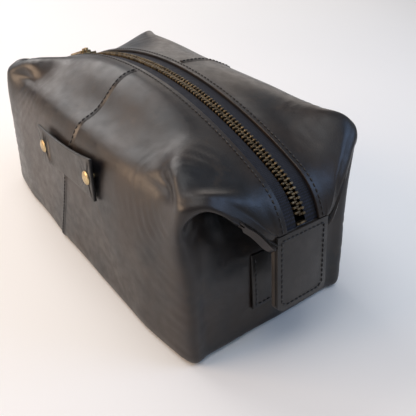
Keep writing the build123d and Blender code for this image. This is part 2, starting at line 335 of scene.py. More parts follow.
@dataclass(frozen=True)
class Cloth:
    """Woven cloth or tape."""

    name: str
    dark: Colour
    light: Colour
    rib: float = 1500.0
    cross: float = 1500.0
    rough: float = 0.82

    def make(self) -> bpy.types.Material:
        """Return the cloth's material."""
        bench = Bench(self.name)
        warp = bench.add("ShaderNodeTexWave", wave_type="BANDS", bands_direction="X")
        weft = bench.add("ShaderNodeTexWave", wave_type="BANDS", bands_direction="Y")
        for wave, scale in ((warp, self.rib), (weft, self.cross)):
            wave.inputs["Scale"].default_value = scale / 10
            wave.inputs["Distortion"].default_value = 0.6
            bench.links.new(bench.place, wave.inputs["Vector"])
        weave = bench.add("ShaderNodeMath", operation="MULTIPLY")
        bench.links.new(warp.outputs["Fac"], weave.inputs[0])
        bench.links.new(weft.outputs["Fac"], weave.inputs[1])
        bench.paint("Base Color", bench.ramp(weave.outputs["Value"], [(0.1, self.dark), (0.8, self.light)]))
        shine = (self.rough - 0.08, self.rough + 0.1)
        bench.paint("Roughness", bench.span(bench.noise(300, 3), (0.3, 0.7), shine))
        bench.bump([(weave.outputs["Value"], 0.0002, 0.6), (bench.noise(1800, 2), 0.0001, 0.3)])
        return bench.material


@dataclass(frozen=True)
class Plain:
    """Matt floor."""

    name: str
    colour: Colour

    def make(self) -> bpy.types.Material:
        """Return the floor's material."""
        bench = Bench(self.name)
        tone = tuple(c * 0.985 for c in self.colour)
        bench.paint("Base Color", bench.ramp(bench.noise(3, 2), [(0.3, tone), (0.7, self.colour)]))
        bench.set(Roughness=0.9, Specular_IOR_Level=0.1)
        return bench.material


@dataclass(frozen=True)
class Finishes:
    """Every finish of the bag."""

    body: Leather = Leather(
        "bag_leather", (0.006, 0.006, 0.008), (0.02, 0.0125, 0.009), (0.03, 0.02, 0.014), 0.36, 0.6
    )
    trim: Leather = Leather(
        "trim_leather", (0.012, 0.011, 0.0115), (0.022, 0.018, 0.016), (0.04, 0.034, 0.03), 0.42, 0.45
    )
    raw: Leather = Leather(
        "raw_edge_leather", (0.03, 0.024, 0.02), (0.075, 0.062, 0.052), (0.11, 0.095, 0.08), 0.62, 0.4
    )
    thread: Cloth = Cloth("waxed_thread", (0.012, 0.012, 0.014), (0.04, 0.041, 0.046), 9000.0, 9000.0, 0.5)
    tape: Cloth = Cloth(
        "zipper_tape_navy", (0.001, 0.0012, 0.003), (0.014, 0.018, 0.042), 3000.0, 2600.0, 0.75
    )
    lining: Cloth = Cloth("lining_cotton", (0.012, 0.011, 0.011), (0.035, 0.032, 0.03), 2400.0, 2400.0, 0.9)
    teeth: Metal = Metal("antique_brass", (0.24, 0.175, 0.10), (0.06, 0.045, 0.03), 0.4, 420.0)
    slider: Metal = Metal("slider_brass", (0.40, 0.29, 0.15), (0.16, 0.11, 0.06), 0.33, 220.0)
    rivet: Metal = Metal("rivet_gold", (0.62, 0.50, 0.29), (0.40, 0.30, 0.17), 0.3, 160.0)
    floor: Plain = Plain("white_floor", (0.9, 0.9, 0.9))


class Wardrobe:
    """Materials made once and handed to pieces."""

    def __init__(self, finishes: Finishes) -> None:
        """Keep the finishes.

        Args:
            finishes: The finishes to make.
        """
        self.finishes = finishes
        self.made: dict[str, bpy.types.Material] = {}

    def dress(self, piece: bpy.types.Object, finish: str) -> None:
        """Give a piece one finish all over.

        Args:
            piece: The mesh to dress.
            finish: Field name of the finish.
        """
        if finish not in self.made:
            self.made[finish] = getattr(self.finishes, finish).make()
        piece.data.materials.clear()
        piece.data.materials.append(self.made[finish])


# ---------------------------------------------------------------- mesh tools


def unselect() -> None:
    """Leave object mode with nothing selected."""
    if bpy.context.mode != "OBJECT":
        bpy.ops.object.mode_set(mode="OBJECT")
    bpy.ops.object.select_all(action="DESELECT")


def activate(piece: bpy.types.Object) -> None:
    """Make a piece the only selected and active one."""
    unselect()
    piece.select_set(True)
    bpy.context.view_layer.objects.active = piece


def apply_modifier(piece: bpy.types.Object, kind: str, **settings: object) -> None:
    """Add a modifier to a piece and apply it.

    Args:
        piece: The mesh.
        kind: Modifier type.
        settings: Properties of the modifier by name.
    """
    activate(piece)
    modifier = piece.modifiers.new(kind.title(), kind)
    for key, value in settings.items():
        setattr(modifier, key, value)
    bpy.ops.object.modifier_apply(modifier=modifier.name)


def edit_all(piece: bpy.types.Object, *steps: Callable[[], object]) -> None:
    """Run edit-mode operators with the whole mesh selected.

    Args:
        piece: The mesh.
        steps: Operators to call in turn.
    """
    activate(piece)
    bpy.ops.object.mode_set(mode="EDIT")
    bpy.ops.mesh.select_all(action="SELECT")
    for step in steps:
        step()
    bpy.ops.object.mode_set(mode="OBJECT")


def recalculate(piece: bpy.types.Object) -> None:
    """Merge doubles and turn every face outwards."""
    edit_all(
        piece,
        lambda: bpy.ops.mesh.remove_doubles(threshold=0.00001),
        lambda: bpy.ops.mesh.normals_make_consistent(inside=False),
    )


def smooth(piece: bpy.types.Object, angle: float = 40.0) -> None:
    """Shade smooth below an angle in degrees."""
    activate(piece)
    bpy.ops.object.shade_smooth_by_angle(angle=math.radians(angle))


def points_of(piece: bpy.types.Object) -> Array:
    """Return a mesh's vertex places in metres."""
    places = np.empty(len(piece.data.vertices) * 3)
    piece.data.vertices.foreach_get("co", places)
    return places.reshape(-1, 3)


def place_points(piece: bpy.types.Object, places: Array) -> None:
    """Move a mesh's vertices to places in metres."""
    piece.data.vertices.foreach_set("co", np.ascontiguousarray(places, dtype=np.float32).ravel())
    piece.data.update()


def keep_above(piece: bpy.types.Object, least: float) -> None:
    """Raise every vertex that is below a height in millimetres to it."""
    places = points_of(piece)
    places[:, 2] = np.maximum(places[:, 2], least * MM)
    place_points(piece, places)


def sheet(name: str, places: Array) -> bpy.types.Object:
    """Build an open sheet from a grid whose vertices are laid on a surface.

    Args:
        name: Name of the piece.
        places: Rows by columns of points in millimetres.

    Returns:
        The sheet.
    """
    rows, columns = places.shape[:2]
    unselect()
    bpy.ops.mesh.primitive_grid_add(x_subdivisions=columns - 1, y_subdivisions=rows - 1, size=1)
    piece = bpy.context.object
    piece.name = piece.data.name = name
    place_points(piece, places.reshape(-1, 3) * MM)
    return piece


def thicken(piece: bpy.types.Object, thickness: float) -> None:
    """Give a sheet a wall that grows inwards.

    Args:
        piece: The sheet.
        thickness: Wall in millimetres.
    """
    apply_modifier(piece, "SOLIDIFY", thickness=thickness * MM, offset=-1.0, use_even_offset=False)


def round_edges(piece: bpy.types.Object, width: float, angle: float = 40.0, segments: int = 2) -> None:
    """Round every edge sharper than an angle.

    Args:
        piece: The mesh.
        width: Width of the bevel in millimetres.
        angle: Least angle in degrees.
        segments: Steps across the bevel.
    """
    apply_modifier(
        piece,
        "BEVEL",
        width=width * MM,
        segments=segments,
        limit_method="ANGLE",
        angle_limit=math.radians(angle),
        use_clamp_overlap=True,
    )


def cad_copy(node: str, name: str) -> bpy.types.Object:
    """Copy a CAD node's mesh into a new piece with its doubles merged.

    Args:
        node: The CAD node.
        name: Name of the piece.

    Returns:
        The copy.
    """
    unselect()
    piece = bpy.data.objects.new(name, frame["nodes"][node].data.copy())
    piece.data.name = name
    bpy.context.scene.collection.objects.link(piece)
    recalculate(piece)
    edit_all(piece, lambda: bpy.ops.mesh.tris_convert_to_quads(face_threshold=0.03, shape_threshold=0.03))
    return piece


def keep_half(piece: bpy.types.Object, half: Half) -> None:
    """Cut a mesh at mid length and keep one half, closed.

    Args:
        piece: The mesh.
        half: The half to keep.
    """
    edit_all(
        piece,
        lambda: bpy.ops.mesh.bisect(
            plane_co=(0, 0, 0),
            plane_no=(1, 0, 0),
            use_fill=True,
            clear_inner=half is Half.RIGHT,
            clear_outer=half is Half.LEFT,
            threshold=0.000001,
        ),
    )


def catmull(knots: Array, at: Array) -> Array:
    """Smooth curve through knots.

    Args:
        knots: Knots along the first axis, with one ghost knot before and one after.
        at: Places along the curve, 0 at the first true knot.

    Returns:
        The points, with the same later axes as the knots.
    """
    last = len(knots) - 3
    index = np.clip(np.floor(at).astype(int), 0, last - 1)
    share = (at - index).reshape((-1,) + (1,) * (knots.ndim - 1))
    before, start, stop, after = (knots[index + k] for k in range(4))
    lean_in, lean_out = (stop - before) / 2, (after - start) / 2
    return (
        start * (2 * share**3 - 3 * share**2 + 1)
        + lean_in * (share**3 - 2 * share**2 + share)
        + stop * (-2 * share**3 + 3 * share**2)
        + lean_out * (share**3 - share**2)
    )


def span_samples(counts: Sequence[int]) -> Array:
    """Return places along spans of one unit, with a number of steps in each."""
    steps = [np.arange(n) / n + k for k, n in enumerate(counts)]
    return np.append(np.concatenate(steps), float(len(counts)))


def surface_normals(places: Array) -> Array:
    """Return unit normals of a grid of points."""
    along = np.gradient(places, axis=0)
    across = np.gradient(places, axis=1)
    normals = np.cross(along, across)
    return normals / np.maximum(np.linalg.norm(normals, axis=2, keepdims=True), 1e-9)


def upward_normals(crown: Array) -> Array:
    """Return unit normals of a crown grid, turned upwards."""
    normals = surface_normals(crown)
    return -normals if normals[8, 5, 2] < 0 else normals


def ease(value: Array) -> Array:
    """Return a smooth step from 0 to 1."""
    value = np.clip(value, 0, 1)
    return value * value * (3 - 2 * value)


def match_normals(pieces: Sequence[bpy.types.Object], limit: float = 60.0) -> None:
    """Shade pieces that meet edge to edge as one surface.

    Args:
        pieces: The pieces.
        limit: Largest angle in degrees between normals that are joined.
    """
    least = math.cos(math.radians(limit))
    corners: dict[tuple[int, int, int], list[tuple[int, int, Array]]] = {}
    shading = []
    for number, piece in enumerate(pieces):
        mesh = piece.data
        normals = np.empty(len(mesh.loops) * 3)
        mesh.corner_normals.foreach_get("vector", normals)
        normals = normals.reshape(-1, 3)
        owners = np.empty(len(mesh.loops), dtype=int)
        mesh.loops.foreach_get("vertex_index", owners)
        keys = np.round(points_of(piece) / (0.05 * MM)).astype(int)
        shading.append(normals)
        for loop, vertex in enumerate(owners):
            corners.setdefault(tuple(keys[vertex]), []).append((number, loop, normals[loop].copy()))
    for group in corners.values():
        if len({number for number, _, _ in group}) < 2:
            continue
        for number, loop, normal in group:
            near = [other for _, _, other in group if float(other @ normal) > least]
            total = np.sum(near, axis=0)
            shading[number][loop] = total / np.linalg.norm(total)
    for piece, normals in zip(pieces, shading):
        piece.data.normals_split_custom_set([tuple(n) for n in normals])


# ---------------------------------------------------------------- the leather's surface


def mirrored_rows(rows: Array, axis: int) -> Array:
    """Return points with one coordinate turned over."""
    turned = np.array(rows, dtype=float)
    turned[..., axis] *= -1
    return turned


# Middle of the creases round each ear, in millimetres, with its drop from the crease line

EAR_X = 110.0
EAR_Y = 60.5
EAR_DROP = 4.0

# Sections of the outer leather in millimetres, each from the crease or lip down to the base

LONG_WALL = {
    Edge.FRONT: (
        (52.5, 104), (58, 101.3), (62.8, 96.5), (66.5, 88), (69, 76),
        (70.3, 60), (70.5, 42), (70.4, 20), (70, 4), (66, 0.3),
    ),
    Edge.BACK: (
        (57.5, 120), (61.5, 118), (65, 113.5), (67.5, 105), (69, 90),
        (69.9, 70), (70, 46), (69.9, 20), (69.3, 4), (66, 0.3),
    ),
}
CREASE_SHIFT = {Edge.FRONT: (0.0, 0.0), Edge.BACK: (5.0, 3.0)}
EAR = {
    Edge.FRONT: (
        (112, -62, 105), (114.5, -64.8, 101.5), (116, -66, 95), (117, -66, 86), (118.5, -65.6, 75),
        (121, -65, 60), (124, -64.8, 42), (127, -64.6, 20), (128.3, -63.8, 4), (123, -60, 0.3),
    ),
    Edge.BACK: (
        (112, 62, 118), (114.5, 64.5, 114.5), (116, 65.3, 107), (117, 65.3, 95), (118.5, 65, 81),
        (121, 64.6, 64), (124, 64.4, 43), (127, 64.3, 20), (128.3, 63.6, 4), (123, 60, 0.3),
    ),
}
CHEEK = {
    Edge.FRONT: (
        (121.5, -52, 106.3), (124.6, -53.6, 103), (122, -51.8, 99.8), (104.5, -46, 94.5), (110.5, -48, 84.5),
        (117, -50, 73), (122.5, -50.5, 52), (126.8, -50.3, 22), (130, -50, 4), (124.5, -46, 0.3),
    ),
    Edge.BACK: (
        (122, 49, 109), (125, 51, 105), (122.5, 50, 101.5), (104.5, 46, 98), (110.5, 48, 88),
        (117, 49.5, 75), (122.5, 50.3, 53), (126.8, 50.2, 22), (130, 50, 4), (124.5, 46, 0.3),
    ),
}
LIP = {
    Edge.FRONT: (
        (131, -34, 94.5), (133.2, -35.6, 91), (131.8, -34.4, 87.2), (97, -30.5, 89.5), (105.5, -31.5, 80),
        (116.5, -32, 66), (121.5, -32.3, 46), (126, -32.3, 20), (130.6, -32, 4), (125.8, -30, 0.3),
    ),
    Edge.BACK: (
        (131.5, 33.5, 97.5), (133.8, 35, 93.5), (132, 34, 90), (97, 31, 91.5), (105.5, 31.5, 82),
        (116.5, 32, 67), (121.5, 32.3, 46), (126, 32.3, 20), (130.6, 32, 4), (125.8, 30, 0.3),
    ),
}
TIP_REST = (
    (91, -15, 88), (104, -15.3, 76), (117, -15.6, 62), (120.9, -15.7, 42),
    (125.1, -15.8, 20), (130.5, -15.5, 4), (126.5, -14.5, 0.3),
)
MIDDLE_REST = (
    (88, 0, 88.2), (102, 0, 75), (117.3, 0, 61), (120.8, 0, 42), (125, 0, 20), (130.6, 0, 4), (126.8, 0, 0.3),
)


@dataclass
class BagForm:
    """The outer surface of the bag, as smooth curves through its sections."""

    half_length: float = field(init=False)
    crown_top: float = field(init=False)
    crease_y: float = field(init=False)
    creases: dict[Edge, float] = field(init=False)
    tab_x: float = field(init=False)
    tab_z: float = field(init=False)
    crown_radius: float = field(init=False)
    nose_radius: float = 41.0
    crown_reach: float = 118.0
    mouth: float = 12.5
    land: float = 18.5
    ear_spread: float = 9.0
    ear_rise: float = 2.5
    knot_steps: tuple[int, ...] = (20, 17, 11, 10, 10, 9, 9, 9)
    row_steps: tuple[int, ...] = (5, 6, 7, 7, 8, 9, 11, 8, 7, 6, 12)
    crown_rows: int = 26
    crown_slopes: tuple[float, ...] = (0.0, 7.54, 13.66, 17.96, 22.5, 34.0, 50.0, 68.0)

    def __post_init__(self) -> None:
        """Read the frame's own sizes."""
        joints = {joint["name"]: joint for joint in frame["joints"]}
        self.half_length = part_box("body_leather_right")[1].x / MM
        self.crown_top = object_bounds()[1].z / MM
        self.crease_y = abs(joints["front_flap_open"]["pos_m"][1]) / MM
        self.creases = {edge: joints[f"{edge.label}_flap_open"]["pos_m"][2] / MM for edge in Edge}
        self.crown_radius = self.crown_top - joints["slider_travel"]["pos_m"][2] / MM
        self.tab_x, _, self.tab_z = (value / MM for value in joints["right_tab_lift"]["pos_m"])
        self.samples = span_samples(self.knot_steps)
        self.rows = span_samples(self.row_steps)

    def sections(self) -> Array:
        """Return the sections of the right half, from the front seam round the end to the back seam."""
        x, z = self.tab_x, self.tab_z
        tip = [(x - 0.4, -19.6, z + 0.2), (x - 1.2, -21.5, z - 3.5), (x - 2.6, -20.4, z - 7), *TIP_REST]
        middle = [(x - 1.2, 0, z - 1.8), (x - 2.4, 0, z - 3.5), (x - 4, 0, z - 6), *MIDDLE_REST]
        front = [self.long_section(Edge.FRONT, at) for at in (0.0, 40.0, 72.0, 94.0)]
        front += [EAR[Edge.FRONT], CHEEK[Edge.FRONT], LIP[Edge.FRONT], tip]
        back = [mirrored_rows(np.array(tip), 1).tolist(), LIP[Edge.BACK], CHEEK[Edge.BACK], EAR[Edge.BACK]]
        back += [self.long_section(Edge.BACK, at) for at in (94.0, 72.0, 40.0, 0.0)]
        return np.array([*front, middle, *back], dtype=float)

    def long_section(self, edge: Edge, x: float) -> list[tuple[float, float, float]]:
        """Return the long wall's section at x, from the crease to the base."""
        belly = 1 - 0.03 * (x / self.half_length) ** 2
        places = [(x, edge.value * y * belly, z) for y, z in LONG_WALL[edge]]
        spread = float(ease(np.array((x - 68) / 52))) * self.ear_spread
        rise = float(ease(np.array((x - 60) / 55))) * (self.ear_rise if edge is Edge.FRONT else 0.0)
        out, up = CREASE_SHIFT[edge]
        spread = max(spread - out, 0)
        places[0] = (x, edge.value * (self.crease_y + out + spread), self.creases[edge] + up + rise)
        return places

    def wrap(self) -> Array:
        """Return the grid of walls, end, pleat and base of the right half, rows from rail to base."""
        sections = self.sections()
        foot = sections[:, -1]
        near_base = foot * (0.97, 0.9, 0) + (0, 0, 0.25)
        mid_base = foot * (0.9, 0, 0) + (0, 0, 0.25)
        sections = np.concatenate([sections, near_base[:, None], mid_base[:, None]], axis=1)
        above = 2 * sections[:, :1] - sections[:, 1:2]
        beyond = 2 * sections[:, -1:] - sections[:, -2:-1]
        columns = np.concatenate([above, sections, beyond], axis=1)
        columns = catmull(columns.transpose(1, 0, 2), self.rows).transpose(1, 0, 2)
        ghosts = [mirrored_rows(columns[1], 0)[None], columns, mirrored_rows(columns[-2], 0)[None]]
        quarter = self.samples
        whole = np.concatenate([quarter, 2 * quarter[-1] - quarter[-2::-1]])
        grid = catmull(np.concatenate(ghosts), whole)
        grid[..., 2] = np.maximum(grid[..., 2], 0.12)
        return grid.transpose(1, 0, 2)

    def on_crown(self, slope: float) -> tuple[float, float]:
        """Return x and z of the crown line at a slope in degrees."""
        turn = math.asin(self.crown_reach / self.crown_radius)
        angle = math.radians(slope)
        centre_z = self.crown_top - self.crown_radius
        if angle <= turn:
            return self.crown_radius * math.sin(angle), centre_z + self.crown_radius * math.cos(angle)
        offset = self.crown_radius - self.nose_radius
        return (
            offset * math.sin(turn) + self.nose_radius * math.sin(angle),
            centre_z + offset * math.cos(turn) + self.nose_radius * math.cos(angle),
        )

    def crown(self, edge: Edge, rail: Array, out: Array) -> Array:
        """Return the grid of crown leather on one side of the mouth, from the mouth edge to its rail.

        Args:
            edge: Side of the mouth.
            rail: Points of the outer edge, from mid length to the tab.
            out: Direction in which the walls leave each point of the rail.

        Returns:
            Rows from the mouth to the rail, columns from mid length to the tab.
        """
        knots = np.array(self.crown_slopes)
        ghosts = np.concatenate([[-knots[1]], knots, [2 * knots[-1] - knots[-2]]])
        slopes = catmull(ghosts, self.samples[: len(rail)])
        ride = edge.value
        grid = []
        for slope, place, leave in zip(slopes, rail, out):
            x, z = self.on_crown(slope)
            start = np.array([x, ride * self.land, z])
            run = np.linalg.norm(place - start)
            nose = float(ease(np.array((slope - 16) / 14)))
            reach_out = run * (0.42 - 0.08 * nose)
            reach_in = run * (0.36 - 0.2 * nose)
            first = start + np.array([0, ride * reach_out, 0])
            second = place - leave * reach_in
            inner = [np.array([x, ride * y, z]) for y in np.linspace(self.mouth, self.land, 4)[:-1]]
            share = np.linspace(0, 1, self.crown_rows)[:, None]
            curve = (
                start * (1 - share) ** 3
                + 3 * first * share * (1 - share) ** 2
                + 3 * second * share**2 * (1 - share)
                + place * share**3
            )
            grid.append(np.concatenate([np.array(inner), curve]))
        return np.array(grid).transpose(1, 0, 2)


@dataclass
class Creasing:
    """Soft folds and creases pressed into the leather."""

    ears: Sequence[tuple[float, float, float, float]]
    pitch: float = 6.0
    depth: float = 0.42
    end_depth: float = 0.34
    wall_depth: float = 0.12
    swell: float = 1.3

    def at(self, places: Array) -> Array:
        """Return how far each point of a grid moves outwards, in millimetres.

        Args:
            places: Points in millimetres.

        Returns:
            The heights, one for each point.
        """
        flat = places.reshape(-1, 3)
        slow = self.cloud(flat, 46.0, 3)
        warp = self.cloud(flat, 24.0, 11)
        patch = self.cloud(flat, 15.0, 29)
        height = self.swell * slow
        for x, y, z, force in self.ears:
            away = np.linalg.norm(flat - (x, y, z), axis=1)
            inward = ease((abs(x) + 4 - np.abs(flat[:, 0])) / 10) * ease((58 - np.abs(flat[:, 1] - y)) / 30)
            band = np.exp(-(((away - 30) / 15) ** 2)) * inward * (np.sign(flat[:, 0]) == np.sign(x))
            ridge = self.valley(away / self.pitch + 0.85 * warp)
            height = height - force * self.depth * band * ridge * ease(0.75 + 1.6 * patch)
        up = flat[:, 2]
        end = ease((np.abs(flat[:, 0]) - 102) / 12) * ease((64 - up) / 14) * ease((up - 4) / 8)
        lines = self.valley(up / 9.5 + 0.9 * warp + 0.3 * slow)
        height -= self.end_depth * end * lines * ease(0.7 + 1.5 * patch)
        wall = ease((np.abs(flat[:, 1]) - 58) / 8) * ease((90 - up) / 30)
        lines = self.valley((up + 0.35 * flat[:, 0]) / 13 + 1.2 * warp)
        height -= self.wall_depth * wall * lines * ease(0.4 + 1.8 * patch)
        return height.reshape(places.shape[:-1])

    @staticmethod
    def valley(phase: Array) -> Array:
        """Return narrow valleys once in each unit of phase."""
        return (0.5 + 0.5 * np.cos(2 * math.pi * phase)) ** 3

    @staticmethod
    def cloud(flat: Array, size: float, seed: int) -> Array:
        """Return smooth noise of a feature size, the same on every run."""
        shift = Vector((seed * 3.7, seed * 1.3, seed * 2.1))
        return np.array([noise.noise(Vector(p) / size + shift) for p in flat])


# ---------------------------------------------------------------- pieces


@dataclass
class Skins:
    """The leather skins and their linings."""

    form: BagForm
    creasing: Creasing
    leather: float = 2.0
    lining_depth: float = 2.3
    lining: float = 0.6
    still_x: float = 78.0
    open_x: float = 8.0
    fold_round: float = 0.75
    centre_z: float = 55.0
    grids: dict[str, Array] = field(default_factory=dict)

    def build(self, wardrobe: Wardrobe) -> None:
        """Build and dress every skin.

        Args:
            wardrobe: Maker of the finishes.
        """
        pieces = []
        for half in Half:
            pieces += self.half_skins(half, wardrobe)
        match_normals(pieces)
        for piece in pieces:
            self.hang(piece)

    def hang(self, piece: bpy.types.Object) -> None:
        """Let a skin ride on the bag; a crown skin or lining only has its transform baked in."""
        edge = next((e for e in Edge if piece.name.startswith(f"crown_{e.label}")), None)
        if edge is None:
            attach(piece, "root")
        else:
            bend_with_mouth(piece)

    def half_skins(self, half: Half, wardrobe: Wardrobe) -> list[bpy.types.Object]:
        """Build the skins of one half.

        Args:
            half: The half.
            wardrobe: Maker of the finishes.

        Returns:
            The outer leather pieces and the linings.
        """
        turn = np.array([half.value, 1, 1])
        wrap = self.form.wrap() * turn
        normals = surface_normals(wrap)
        centre = np.array([0, 0, self.centre_z])
        if np.sum(normals[30, 5] * (wrap[30, 5] - centre)) < 0:
            normals = -normals
        heights = self.creasing.at(wrap)
        row_fade = ease((self.form.rows[-1] - self.form.rows) / 2.2)[:, None]
        heights = heights * row_fade
        moved = wrap + normals * heights[..., None]
        moved[:, 0, 0] = 0
        moved[:, -1, 0] = 0
        moved[..., 2] = np.maximum(moved[..., 2], 0.1)
        self.grids[f"wrap_{half.label}"] = moved
        pieces = []
        walls = sheet(f"wall_leather_{half.label}", moved)
        pieces.append(self.finish_sheet(walls, centre, self.leather))
        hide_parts(f"body_leather_{half.label}", f"pleat_leaf_{half.label}")
        wardrobe.dress(walls, "body")
        inner = moved - normals * self.lining_depth
        lining = self.finish_sheet(sheet(f"wall_lining_{half.label}", inner[:: 2, :: 2]), centre, self.lining)
        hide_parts(f"body_lining_{half.label}")
        wardrobe.dress(lining, "lining")
        pieces.append(lining)
        count = int(np.searchsorted(self.form.samples, 7.0)) + 1
        for edge in Edge:
            order = slice(0, count) if edge is Edge.FRONT else slice(None, -count - 1, -1)
            rail, plain = moved[0][order], wrap[0][order]
            leave = wrap[1][order] - plain
            leave /= np.linalg.norm(leave, axis=1, keepdims=True)
            crown = self.form.crown(edge, plain * turn, leave * turn) * turn
            out = upward_normals(crown)
            rise = self.creasing.at(crown)
            rows = np.linspace(0, 1, len(crown))[:, None]
            keep = ease(rows / 0.3) * (1 - ease((rows - 0.75) / 0.25))
            seat = (rail - plain)[None] * ease((rows - 0.6) / 0.4)[..., None]
            crown = crown + out * (rise * keep)[..., None] + seat
            crown[:, 0, 0] = 0
            self.grids[f"crown_{edge.label}_{half.label}"] = crown
            skin = sheet(f"crown_{edge.label}_{half.label}", crown)
            self.finish_sheet(skin, centre, self.leather)
            self.soften_mouth(skin)
            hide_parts(f"{edge.label}_flap_{half.label}", f"nose_roof_{half.label}")
            wardrobe.dress(skin, "body")
            pieces.append(skin)
            under = (crown - out * self.lining_depth)[5:]
            cloth = self.finish_sheet(
                sheet(f"crown_{edge.label}_lining_{half.label}", under[:, :: 2]), centre, self.lining
            )
            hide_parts(f"{edge.label}_flap_lining_{half.label}")
            wardrobe.dress(cloth, "lining")
            pieces.append(cloth)
        LOG.info("%s half: skins and linings", half.label)
        return pieces

    def finish_sheet(self, piece: bpy.types.Object, centre: Array, wall: float) -> bpy.types.Object:
        """Turn a sheet's faces outwards, give it a wall and shade it.

        Args:
            piece: The open sheet.
            centre: A point inside the bag, in millimetres.
            wall: Thickness in millimetres.

        Returns:
            The piece.
        """
        recalculate_open(piece, centre)
        thicken(piece, wall)
        keep_above(piece, self.lining_depth if wall == self.lining else 0.0)
        smooth(piece, 50)
        return piece

    def soften_mouth(self, piece: bpy.types.Object) -> None:
        """Round the folded leather edge along the mouth.

        Args:
            piece: The crown skin.
        """
        mesh = piece.data
        places = points_of(piece) / MM
        rim = np.abs(places[:, 1]) < self.form.mouth + 0.05
        activate(piece)
        for e in mesh.edges:
            e.select = bool(rim[e.vertices[0]] and rim[e.vertices[1]])
        for v in mesh.vertices:
            v.select = bool(rim[v.index])
        for f in mesh.polygons:
            f.select = False
        bpy.ops.object.mode_set(mode="EDIT")
        bpy.ops.mesh.select_mode(type="EDGE")
        bpy.ops.mesh.bevel(offset=self.fold_round * MM, segments=3, affect="EDGES", clamp_overlap=True)
        bpy.ops.object.mode_set(mode="OBJECT")
        smooth(piece, 50)


def recalculate_open(piece: bpy.types.Object, centre: Array) -> None:
    """Turn an open sheet's faces away from a point inside the bag.

    Args:
        piece: The open sheet.
        centre: The point in millimetres.
    """
    edit_all(piece, lambda: bpy.ops.mesh.normals_make_consistent(inside=False))
    mesh = piece.data
    balance = 0.0
    middle = Vector(centre * MM)
    for face in mesh.polygons:
        balance += face.area * face.normal.dot((face.center - middle).normalized())
    if balance < 0:
        edit_all(piece, bpy.ops.mesh.flip_normals)


def bend_with_mouth(
    piece: bpy.types.Object
) -> None:
    """Bake a piece's transform into its mesh.

    Args:
        piece: The final mesh.
    """
    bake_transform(piece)


def along_line(at: float, walked: Array, values: Array) -> Array:
    """Return three values at a distance along a line."""
    return np.array([np.interp(at, walked, values[:, c]) for c in range(3)])


@dataclass
class Stitcher:
    """Runs of separate thread stitches."""

    length: float = 2.5
    pitch: float = 3.3
    width: float = 0.95
    sink: float = 0.15

    def stitch(self) -> tuple[Array, list[tuple[int, ...]]]:
        """Model one stitch along x, and return its points and faces."""
        unselect()
        turn = (0, math.pi / 2, 0)
        bpy.ops.mesh.primitive_uv_sphere_add(segments=8, ring_count=6, radius=0.5, rotation=turn)
        piece = bpy.context.object
        bpy.ops.object.transform_apply(location=False, rotation=True, scale=False)
        edit_all(piece, lambda: bpy.ops.transform.resize(value=(self.length, self.width, self.width * 0.8)))
        places = points_of(piece)
        faces = [tuple(f.vertices) for f in piece.data.polygons]
        bpy.data.objects.remove(piece)
        return places, faces

    def sew(self, name: str, runs: Sequence[tuple[Array, Array]]) -> bpy.types.Object:
        """Sew stitches along lines on a surface.

        Args:
            name: Name of the piece.
            runs: Points and outward normals of each line, in millimetres.

        Returns:
            One mesh of every stitch.
        """
        unit, faces = self.stitch()
        places, polygons = [], []
        for line, normals in runs:
            steps = np.linalg.norm(np.diff(line, axis=0), axis=1)
            walked = np.concatenate([[0], np.cumsum(steps)])
            total = walked[-1]
            number = max(1, int(total / self.pitch))
            for k in range(number):
                at = (k + 0.5) * total / number
                ends = [along_line(s, walked, line) for s in (at - 0.4, at + 0.4)]
                up = along_line(at, walked, normals)
                along = ends[1] - ends[0]
                along /= np.linalg.norm(along)
                up = up - along * (up @ along)
                up /= np.linalg.norm(up)
                axes = np.array([along, np.cross(up, along), up])
                middle = (ends[0] + ends[1]) / 2 + up * (self.width * 0.4 - self.sink)
                start = len(places) * len(unit)
                places.append(unit @ axes + middle)
                polygons += [tuple(i + start for i in face) for face in faces]
        mesh = bpy.data.meshes.new(name)
        mesh.from_pydata((np.concatenate(places) * MM).tolist(), [], polygons)
        piece = bpy.data.objects.new(name, mesh)
        bpy.context.scene.collection.objects.link(piece)
        smooth(piece, 80)
        return piece


